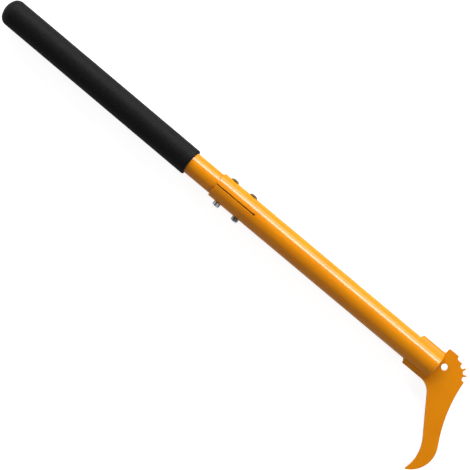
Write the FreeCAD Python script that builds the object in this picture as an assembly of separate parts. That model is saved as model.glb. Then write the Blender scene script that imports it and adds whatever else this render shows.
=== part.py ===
import FreeCAD, Part
import math
import os

from FreeCAD import Vector

# A two-piece pickaroon lying on its side, in millimetres.
# +X runs along the handle towards the hook, the hook plate lies in the XY plane and its beak
# points to -Y. The origin is on the handle's axis, at the middle of the foam grip.

# Main tube, the outer one that carries the hook
main_tube_diameter = 31.8
main_tube_wall = 2.1
main_tube_length = 328.8
mouth_edge_round = 1.0

# Grip tube, the inner one that slides into the main tube
grip_tube_wall = 2.0
grip_tube_shown = 37.2
grip_tube_inserted = 72.0
tube_fit_gap = 0.2
tube_edge_round = 0.6

# Foam grip with its closed butt
foam_length = 280.0
foam_wall = 2.6
foam_end_wall = 10.0
foam_lip_round = 1.5
foam_crown_radius = 22.0
foam_knuckle_radius = 11.0
foam_gap = 0.3

# Plug in the butt end of the grip tube
plug_flange = 2.0
plug_skirt_length = 14.0
plug_skirt_wall = 1.6
plug_gap = 0.1

# Saw cut that lets the main tube close on the grip tube
slit_length = 55.3
slit_width = 1.2
slit_edge_bevel = 0.3
relief_hole_diameter = 2.4

# Cross bolts, along Y through both tubes
bolt_place_shares = (0.263, 0.758)
bolt_diameter = 5.0
bolt_hole_gap = 0.25
bolt_flange_diameter = 10.2
bolt_flange_height = 1.1
bolt_dome_diameter = 9.2
bolt_head_height = 2.4
bolt_socket_across = 3.0
bolt_socket_depth = 1.7
bolt_tip_shown = 0.2
bolt_tip_bevel = 0.5

# Lock nuts with nylon inserts
nut_across_flats = 8.0
nut_corner_diameter = 8.9
nut_height = 4.8
nut_hex_height = 4.0
nut_bevel = 0.35
nut_collar_diameter = 7.8
nut_collar_bevel = 0.5
nut_thread_gap = 0.05
nut_turns = (9.0, 21.0)
insert_diameter = 6.5
insert_height = 1.3
insert_lid = 0.35

# Hook plate and its tang
plate_thickness = 6.0
plate_edge_bevel = 0.4
tang_depth = 33.6
tang_crown_rise = 3.8
tang_beak_rise = 4.8
tang_corner_round = 1.0
slot_gap = 0.1
slot_end_gap = 0.3

# Heel of the hook plate
heel_rise = 11.1
heel_overhang = 1.35
heel_end = 12.6
heel_round = 2.2
heel_tip_round = 1.0
heel_fillet = 2.2

# Toothed crown of the hook plate
crown_rise = 7.1
crown_reach = 36.15
crown_radius = 17.0
scallop_count = 3
scallop_radius = 2.85
scallop_depth = 4.3
scallop_first_angle = 73.4
scallop_step_angle = 28.7
tooth_round = 0.9

# Hanging hole, from the tube's mouth and from the axis
hang_hole_diameter = 8.0
hang_hole_ahead = 7.6
hang_hole_up = 6.7

# Neck and beak
head_reach = 64.8
neck_back_radius = 178.3
neck_angle = 55.3
throat_radius = 20.0
beak_back_radius = 31.6
beak_back_drop = 84.4
beak_inner_radius = 46.4
beak_inner_reach = 48.8
beak_inner_drop = 98.4
beak_tip_radius = 0.9

# Weld beads
weld_leg = 3.2
weld_crown = 0.3
mouth_weld_leg = 2.4
mouth_weld_depth = 9.0
mouth_weld_lap = 0.9

# How far every cut runs past the faces that it opens
cut_overrun = 1.0

# Radii
main_outer = main_tube_diameter / 2
main_inner = main_outer - main_tube_wall
grip_outer = main_inner - tube_fit_gap
grip_inner = grip_outer - grip_tube_wall
foam_inner = grip_outer + foam_gap
foam_outer = grip_outer + foam_gap + foam_wall
bolt_radius = bolt_diameter / 2
half_plate = plate_thickness / 2

# Places along X
foam_butt = -foam_length / 2
foam_mouth = foam_length / 2
plug_face = foam_butt + foam_end_wall + foam_gap
grip_tube_butt = plug_face + plug_flange
main_tube_start = foam_mouth + grip_tube_shown
grip_tube_end = main_tube_start + grip_tube_inserted
slit_end = main_tube_start + slit_length
mouth = main_tube_start + main_tube_length
tang_end = mouth - tang_depth
bolt_places = [main_tube_start + share * slit_length for share in bolt_place_shares]

# Places along Y
tang_high = main_outer + tang_crown_rise
tang_low = -main_outer - tang_beak_rise
heel_high = main_outer + heel_rise
crown_high = main_outer + crown_rise

x_axis = Vector(1, 0, 0)
y_axis = Vector(0, 1, 0)
z_axis = Vector(0, 0, 1)
full_turn = 360.0
quarter_turn = 90.0
hexagon_sides = 6


def draw(start, steps):
    """Wire from start through steps: (point,) is a straight run, (middle, end) an arc."""
    edges = []
    here = start
    for step in steps:
        if len(step) == 1:
            edges.append(Part.LineSegment(here, step[0]).toShape())
        else:
            edges.append(Part.Arc(here, step[0], step[1]).toShape())
        here = step[-1]
    return Part.Wire(edges)


def corner(before, at, after, radius):
    """Start of the arc that rounds a corner, and the (middle, end) step that draws it."""
    back = (before - at).normalize()
    onward = (after - at).normalize()
    half_angle = back.getAngle(onward) / 2
    setback = radius / math.tan(half_angle)
    inward = (back + onward).normalize()
    middle = at + inward * (radius / math.sin(half_angle) - radius)
    return at + back * setback, (middle, at + onward * setback)


def around(centre, start, end):
    """(middle, end) step of the shorter arc about a centre."""
    first = start - centre
    last = end - centre
    middle = centre + (first + last).normalize() * first.Length
    return middle, end


def crossing(centre_a, radius_a, centre_b, radius_b, side):
    """Where two circles cross, to the left (1) or right (-1) of the line from a to b."""
    apart = (centre_b - centre_a).Length
    onward = (centre_b - centre_a).normalize()
    left = z_axis.cross(onward)
    along = (apart * apart + radius_a * radius_a - radius_b * radius_b) / (2 * apart)
    off = math.sqrt(radius_a * radius_a - along * along)
    return centre_a + onward * along + left * (side * off)


def polar(centre, radius, degrees):
    """Point at an angle from +X about a centre in the XY plane."""
    angle = math.radians(degrees)
    return centre + Vector(radius * math.cos(angle), radius * math.sin(angle), 0)


def turned(wire, axis):
    """Solid of revolution of a closed profile about an axis through the origin."""
    return Part.Face(wire).revolve(Vector(0, 0, 0), axis, full_turn)


def slab(x_from, x_to, y_from, y_to, z_from, z_to):
    """Box between two corners."""
    low = Vector(x_from, y_from, z_from)
    return Part.makeBox(x_to - x_from, y_to - y_from, z_to - z_from, low)


def rod(radius, x_from, x_to):
    """Cylinder on the handle's axis."""
    return Part.makeCylinder(radius, x_to - x_from, Vector(x_from, 0, 0), x_axis)


def tube(outer, inner, x_from, x_to, round_from, round_to):
    """Tube on the handle's axis with its two outer edges rounded, each by its own radius."""
    start = Vector(x_from, inner, 0)
    rise = Vector(x_from, outer, 0)
    drop = Vector(x_to, outer, 0)
    end = Vector(x_to, inner, 0)
    first_start, first_arc = corner(start, rise, drop, round_from)
    last_start, last_arc = corner(rise, drop, end, round_to)
    steps = [(first_start,), first_arc, (last_start,), last_arc, (end,), (start,)]
    return turned(draw(start, steps), x_axis)


def bolt_holes(reach):
    """Clearance holes for the cross bolts, through a tube of the given outer radius."""
    long = 2 * (reach + cut_overrun)
    low = -reach - cut_overrun
    radius = bolt_radius + bolt_hole_gap
    holes = [Part.makeCylinder(radius, long, Vector(x, low, 0), y_axis) for x in bolt_places]
    return Part.makeCompound(holes)


def slit_edges(shell):
    """Edges of the clamp slit and its relief hole that lie on the outside of the main tube."""
    edges = []
    for edge in shell.Edges:
        middle = edge.valueAt((edge.FirstParameter + edge.LastParameter) / 2)
        outside = math.hypot(middle.y, middle.z) > main_outer - slit_edge_bevel
        beside = abs(middle.y) < relief_hole_diameter
        along = main_tube_start + tube_edge_round < middle.x < slit_end + relief_hole_diameter
        if outside and beside and along:
            edges.append(edge)
    return edges


def main_tube():
    """Outer tube with the tang slot at the head and the clamp slit at the grip end."""
    shell = tube(main_outer, main_inner, main_tube_start, mouth, tube_edge_round, mouth_edge_round)
    reach = main_outer + cut_overrun
    half_slot = half_plate + slot_gap
    slot_end = tang_end - slot_end_gap
    slot = slab(slot_end, mouth + cut_overrun, -reach, reach, -half_slot, half_slot)
    half_slit = slit_width / 2
    slit_start = main_tube_start - cut_overrun
    slit = slab(slit_start, slit_end, -half_slit, half_slit, -reach, reach)
    relief_low = Vector(slit_end, 0, -reach)
    relief = Part.makeCylinder(relief_hole_diameter / 2, 2 * reach, relief_low, z_axis)
    shell = shell.cut([slot, slit, relief, bolt_holes(main_outer)])
    return shell.makeChamfer(slit_edge_bevel, slit_edges(shell))


def grip_tube():
    """Inner tube, from the plug in the foam's butt to its end inside the main tube."""
    shell = tube(
        grip_outer, grip_inner, grip_tube_butt, grip_tube_end, tube_edge_round, tube_edge_round
    )
    return shell.cut(bolt_holes(grip_outer))


def foam_grip():
    """Foam sleeve: straight sides, rounded lip, and a butt of a shallow crown and a knuckle."""
    butt = Vector(foam_butt, 0, 0)
    crown_centre = butt + x_axis * foam_crown_radius
    knuckle_off = foam_outer - foam_knuckle_radius
    centres_apart = foam_crown_radius - foam_knuckle_radius
    centres_along = math.sqrt(centres_apart * centres_apart - knuckle_off * knuckle_off)
    knuckle_centre = crown_centre + Vector(-centres_along, knuckle_off, 0)
    outward = (knuckle_centre - crown_centre).normalize()
    crown_edge = crown_centre + outward * foam_crown_radius
    side_start = knuckle_centre + y_axis * foam_knuckle_radius
    bore_end = plug_face - foam_gap
    bore_mouth = Vector(foam_mouth, foam_inner, 0)
    lip = Vector(foam_mouth, foam_outer, 0)
    lip_start, lip_arc = corner(side_start, lip, bore_mouth, foam_lip_round)
    steps = [around(crown_centre, butt, crown_edge), around(knuckle_centre, crown_edge, side_start)]
    steps += [(lip_start,), lip_arc, (bore_mouth,)]
    steps += [(Vector(bore_end, foam_inner, 0),), (Vector(bore_end, 0, 0),), (butt,)]
    return turned(draw(butt, steps), x_axis)


def end_plug():
    """Plastic cup pressed into the butt end of the grip tube."""
    skirt_outer = grip_inner - plug_gap
    skirt_inner = skirt_outer - plug_skirt_wall
    skirt_end = grip_tube_butt + plug_skirt_length
    flange = rod(grip_outer, plug_face, grip_tube_butt)
    skirt = rod(skirt_outer, grip_tube_butt, skirt_end)
    hollow = rod(skirt_inner, grip_tube_butt, skirt_end + cut_overrun)
    return flange.fuse(skirt).removeSplitter().cut(hollow)


def hexagon(across_flats, y_from, y_to):
    """Hexagonal prism along Y with two corners on the X axis."""
    across_corners = across_flats / math.cos(math.pi / hexagon_sides)
    points = []
    for side in range(hexagon_sides + 1):
        angle = 2 * math.pi * side / hexagon_sides
        x = across_corners / 2 * math.cos(angle)
        z = across_corners / 2 * math.sin(angle)
        points.append(Vector(x, y_from, z))
    return Part.Face(Part.makePolygon(points)).extrude(y_axis * (y_to - y_from))


def clamp_bolt():
    """Flanged, low domed bolt along Y, seated on the crown side of the main tube."""
    seat = main_outer
    tip = -main_outer - nut_height - bolt_tip_shown
    flange_radius = bolt_flange_diameter / 2
    dome_radius = bolt_dome_diameter / 2
    flange_high = seat + bolt_flange_height
    dome_height = bolt_head_height - bolt_flange_height
    sphere = (dome_radius * dome_radius + dome_height * dome_height) / (2 * dome_height)
    top = Vector(0, seat + bolt_head_height, 0)
    dome_edge = Vector(dome_radius, flange_high, 0)
    steps = [
        (Vector(bolt_radius - bolt_tip_bevel, tip, 0),),
        (Vector(bolt_radius, tip + bolt_tip_bevel, 0),),
        (Vector(bolt_radius, seat, 0),),
        (Vector(flange_radius, seat, 0),),
        (Vector(flange_radius, flange_high, 0),),
        (dome_edge,),
        around(top - y_axis * sphere, dome_edge, top),
        (Vector(0, tip, 0),),
    ]
    blank = turned(draw(Vector(0, tip, 0), steps), y_axis)
    socket_low = seat + bolt_head_height - bolt_socket_depth
    return blank.cut(hexagon(bolt_socket_across, socket_low, top.y + cut_overrun))


def clamp_bolts():
    """Both cross bolts."""
    return Part.makeCompound([clamp_bolt().translated(x_axis * x) for x in bolt_places])


def insert_ring(gap):
    """Nylon ring in a lock nut's collar, grown by a gap when it cuts its own groove."""
    low = -main_outer - nut_height + insert_lid
    ring = Part.makeCylinder(insert_diameter / 2, insert_height, Vector(0, low, 0), y_axis)
    bore_low = Vector(0, low - cut_overrun, 0)
    bore_long = insert_height + 2 * cut_overrun
    bore = Part.makeCylinder(bolt_radius + gap, bore_long, bore_low, y_axis)
    return ring.cut(bore)


def lock_nut():
    """Hexagon nut with beveled corners and the round collar that holds its insert."""
    seat = -main_outer
    hex_low = seat - nut_hex_height
    end = seat - nut_height
    corner_radius = nut_corner_diameter / 2
    collar_radius = nut_collar_diameter / 2
    bore_radius = bolt_radius + nut_thread_gap
    points = [
        Vector(corner_radius - nut_bevel, seat, 0),
        Vector(corner_radius, seat - nut_bevel, 0),
        Vector(corner_radius, hex_low + nut_bevel, 0),
        Vector(corner_radius - nut_bevel, hex_low, 0),
        Vector(collar_radius, hex_low, 0),
        Vector(collar_radius, end + nut_collar_bevel, 0),
        Vector(collar_radius - nut_collar_bevel, end, 0),
        Vector(0, end, 0),
    ]
    start = Vector(0, seat, 0)
    blank = turned(draw(start, [(point,) for point in points + [start]]), y_axis)
    nut = blank.common(hexagon(nut_across_flats, end - cut_overrun, seat + cut_overrun))
    bore_low = Vector(0, end - cut_overrun, 0)
    bore = Part.makeCylinder(bore_radius, nut_height + 2 * cut_overrun, bore_low, y_axis)
    return nut.cut([bore, insert_ring(nut_thread_gap)])


def lock_nuts():
    """Both lock nuts, each stopped at its own angle."""
    nuts = []
    for x, turn in zip(bolt_places, nut_turns):
        nut = lock_nut()
        nut.rotate(Vector(0, 0, 0), y_axis, turn)
        nuts.append(nut.translated(x_axis * x))
    return Part.makeCompound(nuts)


def nut_inserts():
    """Both nylon rings."""
    return Part.makeCompound([insert_ring(nut_thread_gap).translated(x_axis * x) for x in bolt_places])


def touching(centre_a, radius_a, centre_b, radius_b, middle):
    """Points where the circle about middle touches circle a and circle b."""
    on_a = centre_a + (middle - centre_a).normalize() * radius_a
    on_b = centre_b + (middle - centre_b).normalize() * radius_b
    return on_a, on_b


def crown_steps(crown_centre, crown_top, neck_centre):
    """Steps over the toothed crown, from its top through the scallops to the neck's back edge."""
    pitch_radius = crown_radius - scallop_depth + scallop_radius
    scallops = []
    for scallop in range(scallop_count):
        angle = scallop_first_angle - scallop * scallop_step_angle
        scallops.append(polar(crown_centre, pitch_radius, angle))
    in_crown = crown_radius - tooth_round
    off_scallop = scallop_radius + tooth_round
    here = crown_top
    steps = []
    for scallop in scallops:
        bottom = scallop + (crown_centre - scallop).normalize() * scallop_radius
        left = crossing(crown_centre, in_crown, scallop, off_scallop, 1)
        tooth_end, dip = touching(crown_centre, crown_radius, scallop, scallop_radius, left)
        steps += [around(crown_centre, here, tooth_end), around(left, tooth_end, dip)]
        if scallop == scallops[-1]:
            right = crossing(neck_centre, neck_back_radius + tooth_round, scallop, off_scallop, 1)
            here, rise = touching(neck_centre, neck_back_radius, scallop, scallop_radius, right)
        else:
            right = crossing(crown_centre, in_crown, scallop, off_scallop, -1)
            here, rise = touching(crown_centre, crown_radius, scallop, scallop_radius, right)
        steps += [(bottom, rise), around(right, rise, here)]
    return steps


def plate_outline():
    """Outline of the hook plate, from the tang round the crown and the beak to the throat."""
    tang_foot = Vector(tang_end, tang_low, 0)
    tang_top = Vector(tang_end, tang_high, 0)
    heel_foot = Vector(mouth - heel_overhang, tang_high, 0)
    heel_top = Vector(mouth - heel_overhang, heel_high, 0)
    heel_corner = Vector(mouth + heel_end, heel_high, 0)
    step_foot = Vector(mouth + heel_end, crown_high, 0)
    crown_centre = Vector(mouth + crown_reach - crown_radius, crown_high - crown_radius, 0)
    crown_top = crown_centre + y_axis * crown_radius

    back_centre = Vector(mouth + head_reach - beak_back_radius, -beak_back_drop, 0)
    neck_centre = crossing(
        crown_centre, crown_radius + neck_back_radius,
        back_centre, beak_back_radius + neck_back_radius, 1,
    )
    teeth = crown_steps(crown_centre, crown_top, neck_centre)
    neck_start = teeth[-1][-1]
    back_start = back_centre + (neck_centre - back_centre).normalize() * beak_back_radius

    inner_centre = Vector(mouth + beak_inner_reach - beak_inner_radius, -beak_inner_drop, 0)
    tip_centre = crossing(
        back_centre, beak_back_radius - beak_tip_radius,
        inner_centre, beak_inner_radius + beak_tip_radius, 1,
    )
    tip_start, tip_end = touching(
        back_centre, beak_back_radius, inner_centre, beak_inner_radius, tip_centre
    )

    neck_out = polar(Vector(0, 0, 0), 1, quarter_turn - neck_angle)
    neck_low = inner_centre + neck_out * beak_inner_radius
    throat_y = tang_low - throat_radius
    throat_x = neck_low.x - (throat_radius + (throat_y - neck_low.y) * neck_out.y) / neck_out.x
    throat_centre = Vector(throat_x, throat_y, 0)
    neck_high = throat_centre + neck_out * throat_radius
    throat_end = throat_centre + y_axis * throat_radius

    low_start, low_arc = corner(throat_end, tang_foot, tang_top, tang_corner_round)
    high_start, high_arc = corner(tang_foot, tang_top, heel_foot, tang_corner_round)
    fillet_start, fillet_arc = corner(tang_top, heel_foot, heel_top, heel_fillet)
    round_start, round_arc = corner(heel_foot, heel_top, heel_corner, heel_round)
    heel_tip_start, heel_tip_arc = corner(heel_top, heel_corner, step_foot, heel_tip_round)
    step_start, step_arc = corner(heel_corner, step_foot, crown_top, scallop_radius)
    steps = [
        low_arc,
        (high_start,), high_arc,
        (fillet_start,), fillet_arc,
        (round_start,), round_arc,
        (heel_tip_start,), heel_tip_arc,
        (step_start,), step_arc,
        (crown_top,),
    ]
    steps += teeth
    steps += [
        around(neck_centre, neck_start, back_start),
        around(back_centre, back_start, tip_start),
        around(tip_centre, tip_start, tip_end),
        around(inner_centre, tip_end, neck_low),
        (neck_high,), around(throat_centre, neck_high, throat_end),
        (low_start,),
    ]
    return draw(low_start, steps)


def head_plate():
    """Flat hook plate with its hanging hole, its rims beveled on both faces."""
    hole_place = Vector(mouth + hang_hole_ahead, hang_hole_up, 0)
    hole = Part.Wire(Part.makeCircle(hang_hole_diameter / 2, hole_place))
    flat = Part.Face([plate_outline(), hole])
    flat.translate(z_axis * -half_plate)
    plate = flat.extrude(z_axis * plate_thickness)
    by_height = sorted(plate.Faces, key=lambda face: face.CenterOfMass.z)
    rims = by_height[0].Edges + by_height[-1].Edges
    return plate.makeChamfer(plate_edge_bevel, rims)


def weld_section(side, foot, height):
    """Closed profile of a fillet bead, in outward distance (X) and height (Y)."""
    bed = Vector(0, side * foot, 0)
    top = Vector(0, side * height, 0)
    toe = Vector(weld_leg, side * foot, 0)
    middle = (top + toe) * 0.5
    outward = Vector(1, side, 0).normalize()
    return draw(bed, [(top,), (middle + outward * weld_crown, toe), (bed,)])


def tang_weld(side):
    """Bead that runs up one face of the tang, round its end and back along the other face."""
    junction = math.sqrt(main_outer * main_outer - half_plate * half_plate)
    toe_off = half_plate + weld_leg
    foot = math.sqrt(main_outer * main_outer - toe_off * toe_off)
    section = Part.Face(weld_section(side, foot, junction + weld_leg))
    run = mouth - tang_end
    pieces = []
    for face in (1, -1):
        along = section.copy()
        along.rotate(Vector(0, 0, 0), y_axis, -face * quarter_turn)
        along = along.translated(Vector(tang_end, 0, face * half_plate))
        pieces.append(along.extrude(x_axis * run))
        turn_place = Vector(tang_end, 0, face * half_plate)
        pieces.append(along.revolve(turn_place, y_axis, -face * quarter_turn))
    end = section.copy()
    end.rotate(Vector(0, 0, 0), y_axis, 2 * quarter_turn)
    end = end.translated(Vector(tang_end, 0, -half_plate))
    pieces.append(end.extrude(z_axis * plate_thickness))
    bead = pieces[0].fuse(pieces[1:]).removeSplitter()
    tang = slab(tang_end, mouth, tang_low, tang_high, -half_plate, half_plate)
    core = rod(main_outer, tang_end - 2 * weld_leg, mouth + cut_overrun)
    return bead.cut([tang, core])


def crown_weld():
    """Bead on the crown side of the tube."""
    return tang_weld(1)


def beak_weld():
    """Bead on the beak side of the tube."""
    return tang_weld(-1)


def mouth_welds():
    """Short beads in the four corners between the plate and the tube's inner wall."""
    corner_y = math.sqrt(main_inner * main_inner - half_plate * half_plate)
    toe_off = half_plate + mouth_weld_leg
    toe_y = math.sqrt(main_inner * main_inner - toe_off * toe_off)
    lap = main_tube_wall / 2
    start = mouth - mouth_weld_depth
    wall = rod(main_outer, start - cut_overrun, mouth).cut(
        rod(main_inner, start - 2 * cut_overrun, mouth + cut_overrun)
    )
    beads = []
    for side in (1, -1):
        for face in (1, -1):
            points = [
                Vector(start, side * (corner_y - mouth_weld_leg), face * half_plate),
                Vector(start, side * toe_y, face * toe_off),
                Vector(start, side * (toe_y + lap), face * toe_off),
                Vector(start, side * (corner_y + lap), face * half_plate),
            ]
            outline = Part.makePolygon(points + points[:1])
            bead = Part.Face(outline).extrude(x_axis * (mouth_weld_depth + mouth_weld_lap))
            beads.append(bead.cut(wall))
    return Part.makeCompound(beads)


builders = {
    "head_plate": head_plate,
    "main_tube": main_tube,
    "grip_tube": grip_tube,
    "foam_grip": foam_grip,
    "end_plug": end_plug,
    "clamp_bolts": clamp_bolts,
    "lock_nuts": lock_nuts,
    "nut_inserts": nut_inserts,
    "crown_weld": crown_weld,
    "beak_weld": beak_weld,
    "mouth_welds": mouth_welds,
}

os.makedirs("parts", exist_ok=True)
for node, build in builders.items():
    build().exportStep("parts/" + node + ".step")
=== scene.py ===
"""Looks of a two-piece pickaroon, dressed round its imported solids.

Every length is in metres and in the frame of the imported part: +X runs along the handle towards
the hook, the hook plate lies in the XY plane and its beak points to -Y.
"""

import logging
import math
from dataclasses import dataclass
from enum import Enum
from functools import cache, cached_property, reduce

import bmesh
import bpy
import numpy as np
from bpy.types import Material, Mesh, Node, NodeOutputs, NodeTree, Object
from mathutils import Matrix, Vector


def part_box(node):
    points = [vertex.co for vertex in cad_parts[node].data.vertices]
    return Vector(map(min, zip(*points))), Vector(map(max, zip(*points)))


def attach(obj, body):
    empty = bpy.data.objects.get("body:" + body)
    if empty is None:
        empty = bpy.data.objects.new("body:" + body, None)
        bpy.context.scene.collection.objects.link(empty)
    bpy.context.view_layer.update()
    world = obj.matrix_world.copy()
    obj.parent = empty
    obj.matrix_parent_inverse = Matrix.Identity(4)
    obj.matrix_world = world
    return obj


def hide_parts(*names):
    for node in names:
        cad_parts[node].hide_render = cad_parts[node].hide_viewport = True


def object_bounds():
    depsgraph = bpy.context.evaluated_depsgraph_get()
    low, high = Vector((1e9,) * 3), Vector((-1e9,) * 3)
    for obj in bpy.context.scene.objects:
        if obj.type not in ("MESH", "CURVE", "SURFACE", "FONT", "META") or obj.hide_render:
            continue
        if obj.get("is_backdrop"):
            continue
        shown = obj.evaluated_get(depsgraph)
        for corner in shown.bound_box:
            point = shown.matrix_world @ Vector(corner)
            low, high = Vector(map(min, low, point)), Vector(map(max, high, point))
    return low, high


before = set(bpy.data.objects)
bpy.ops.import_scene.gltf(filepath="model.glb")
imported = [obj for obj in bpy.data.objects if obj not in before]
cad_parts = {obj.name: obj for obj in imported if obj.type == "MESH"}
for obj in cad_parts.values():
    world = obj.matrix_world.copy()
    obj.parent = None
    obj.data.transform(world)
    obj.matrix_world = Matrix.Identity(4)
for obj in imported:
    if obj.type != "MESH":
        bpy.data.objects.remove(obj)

Colour = tuple[float, float, float, float]
Point = tuple[float, float]
Socket = bpy.types.NodeSocket
Value = float | int | bool | tuple | Socket | Material

log = logging.getLogger("pickaroon")
MM = 0.001
MERGE = 1e-7
TUBE_RADIUS = 15.9 * MM
PATCH_BOUNDS = (0.3, 0.7)
SPECKLE_SHARE = 3.0
TOOL_STRETCH = (0.08, 1.0, 0.08)


class Slot(Enum):
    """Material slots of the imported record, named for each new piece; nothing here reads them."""

    ORANGE = "orange_powder_coat"
    FOAM = "black_foam"
    ZINC = "zinc_plate"


class Side(Enum):
    """The two sides of the handle that the tang comes out of."""

    CROWN = 1
    BEAK = -1


def srgb(*levels: float) -> Colour:
    """Turns a colour on a screen into a linear one.

    Args:
        *levels: Red, green and blue on the screen, from 0 to 255.

    Returns:
        The linear colour, opaque.
    """
    shares = np.array(levels) / 255
    linear = np.where(shares <= 0.04045, shares / 12.92, ((shares + 0.055) / 1.055) ** 2.4)
    return (*linear.tolist(), 1.0)


class Graph:
    """A node tree that is built in code."""

    def __init__(self, tree: NodeTree) -> None:
        """Keeps the tree that the nodes go into."""
        self.tree = tree

    def add(
        self, kind: str, feeds: dict[str | int, Value] | None = None, **settings: object
    ) -> Node:
        """Adds a node with its settings and inputs.

        Args:
            kind: Blender's name for the type of node.
            feeds: Value or socket for each input, by the input's name or number.
            **settings: Values of the node's own settings.

        Returns:
            The new node.
        """
        node = self.tree.nodes.new(kind)
        for name, value in settings.items():
            setattr(node, name, value)
        for place, value in (feeds or {}).items():
            socket = node.inputs[place]
            if isinstance(value, Socket):
                self.tree.links.new(value, socket)
            else:
                socket.default_value = value
        return node

    def calc(self, operation: str, *values: Value) -> Socket:
        """Result of a Math node, by Blender's name for the operation."""
        return self.add("ShaderNodeMath", dict(enumerate(values)), operation=operation).outputs[0]

    def product(self, *values: Value) -> Socket:
        """Product of numbers or sockets, taken in their order."""
        return reduce(lambda so_far, value: self.calc("MULTIPLY", so_far, value), values)

    def off_axis(self, first: Value, second: Value) -> Socket:
        """Distance from an axis, from the two coordinates across it."""
        squares = [self.product(value, value) for value in (first, second)]
        return self.calc("SQRT", self.calc("ADD", *squares))

    def remap(
        self, value: Value, low: Value, high: Value, to_low: Value = 0.0, to_high: Value = 1.0
    ) -> Socket:
        """Turns a value between two bounds into one between two others, and holds it there."""
        bounds = {"From Min": low, "From Max": high, "To Min": to_low, "To Max": to_high}
        return self.add("ShaderNodeMapRange", {"Value": value, **bounds}).outputs["Result"]

    def shade(self, factor: Value, first: Value, second: Value) -> Socket:
        """Mix of two colours, which is the first at a factor of 0 and the second at 1."""
        node = self.add("ShaderNodeMix", {0: factor, 6: first, 7: second}, data_type="RGBA")
        return node.outputs[2]

    def noise(self, vector: Value, size: Value, detail: float, seed: Value) -> Socket:
        """Adds a noise whose features have a given size.

        Args:
            vector: Socket with the place.
            size: Size of a feature.
            detail: Number of finer layers.
            seed: Which of many such patterns.

        Returns:
            The noise's value, round about 0.5.
        """
        scale = self.calc("DIVIDE", 1.0, size)
        feeds = {"Vector": vector, "W": seed, "Scale": scale, "Detail": detail}
        return self.add("ShaderNodeTexNoise", feeds, noise_dimensions="4D").outputs["Fac"]


def effect_group(name: str, sizes: tuple[str, ...], results: tuple[str, ...]) -> Graph:
    """Starts a group that takes a place and some sizes.

    Args:
        name: Name of the group.
        sizes: Names of its number inputs.
        results: Names of its number outputs.

    Returns:
        The graph to build the effect in.
    """
    tree = bpy.data.node_groups.new(name, "ShaderNodeTree")
    tree.interface.new_socket(name="Vector", in_out="INPUT", socket_type="NodeSocketVector")
    for way, labels in (("INPUT", sizes), ("OUTPUT", results)):
        for label in labels:
            tree.interface.new_socket(name=label, in_out=way, socket_type="NodeSocketFloat")
    return Graph(tree)


@cache
def skin_effect() -> NodeTree:
    """Group for a sprayed or moulded skin: fine relief, and slow patches of another shade.

    Returns:
        The group.
    """
    graph = effect_group("skin", ("Relief Size", "Patch Size"), ("Height", "Patch"))
    given = graph.add("NodeGroupInput").outputs
    relief = graph.noise(given["Vector"], given["Relief Size"], detail=2.0, seed=0.0)
    patch = graph.noise(given["Vector"], given["Patch Size"], detail=3.0, seed=4.0)
    feeds = {"Height": relief, "Patch": graph.remap(patch, *PATCH_BOUNDS)}
    graph.add("NodeGroupOutput", feeds)
    return graph.tree


@cache
def grain_effect() -> NodeTree:
    """Group for an open grain: cells with dark pits between them, and a coarser speckle.

    Returns:
        The group.
    """
    graph = effect_group("grain", ("Cell Size",), ("Height", "Speckle"))
    given = graph.add("NodeGroupInput").outputs
    place, size = given["Vector"], given["Cell Size"]
    feeds = {"Vector": place, "Scale": graph.calc("DIVIDE", 1.0, size)}
    cells = graph.add("ShaderNodeTexVoronoi", feeds).outputs["Distance"]
    bumps = graph.calc("SUBTRACT", 1.0, cells)
    fine = graph.noise(place, size, detail=3.0, seed=2.0)
    wide = graph.product(size, SPECKLE_SHARE)
    coarse = graph.noise(place, wide, detail=4.0, seed=7.0)
    graph.add("NodeGroupOutput", {"Height": graph.product(bumps, fine), "Speckle": coarse})
    return graph.tree


@cache
def tooling_effect() -> NodeTree:
    """Group for fine lines that a tool left round a fastener's own axis, along Y.

    Returns:
        The group.
    """
    graph = effect_group("tooling", ("Line Size",), ("Height",))
    given = graph.add("NodeGroupInput").outputs
    feeds = {"Vector": given["Vector"], "Scale": TOOL_STRETCH}
    drawn_out = graph.add("ShaderNodeMapping", feeds).outputs["Vector"]
    lines = graph.noise(drawn_out, given["Line Size"], detail=2.0, seed=5.0)
    graph.add("NodeGroupOutput", {"Height": lines})
    return graph.tree


class Shading(Graph):
    """A material's node tree."""

    def __init__(self, name: str) -> None:
        """Starts the material.

        Args:
            name: Name of the material.
        """
        self.material = bpy.data.materials.new(name)
        self.material.use_nodes = True
        super().__init__(self.material.node_tree)
        self.tree.nodes.clear()

    @cached_property
    def place(self) -> Socket:
        """Place in the object's own coordinates."""
        return self.add("ShaderNodeTexCoord").outputs["Object"]

    def along(self, start: float, end: float) -> Socket:
        """Share of the way between two places along the handle."""
        axes = self.add("ShaderNodeSeparateXYZ", {"Vector": self.place}).outputs
        return self.remap(axes["X"], start, end)

    def effect(self, group: NodeTree, sizes: dict[str, float]) -> NodeOutputs:
        """Outputs of an effect on the object's own coordinates, from its sizes by name."""
        feeds = {"Vector": self.place, **sizes}
        return self.add("ShaderNodeGroup", feeds, node_tree=group).outputs

    def close(self, feeds: dict[str, Value], height: Socket, depth: float = 1.0) -> Material:
        """Ends the material with its shader.

        Args:
            feeds: Value or socket for each input of the shader.
            height: Socket with the relief.
            depth: Metres that a relief of 1 stands up.

        Returns:
            The finished material.
        """
        bump = self.add("ShaderNodeBump", {"Height": height, "Distance": depth})
        feeds = {**feeds, "Normal": bump.outputs["Normal"]}
        shader = self.add("ShaderNodeBsdfPrincipled", feeds)
        self.add("ShaderNodeOutputMaterial", {"Surface": shader.outputs["BSDF"]})
        return self.material


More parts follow.
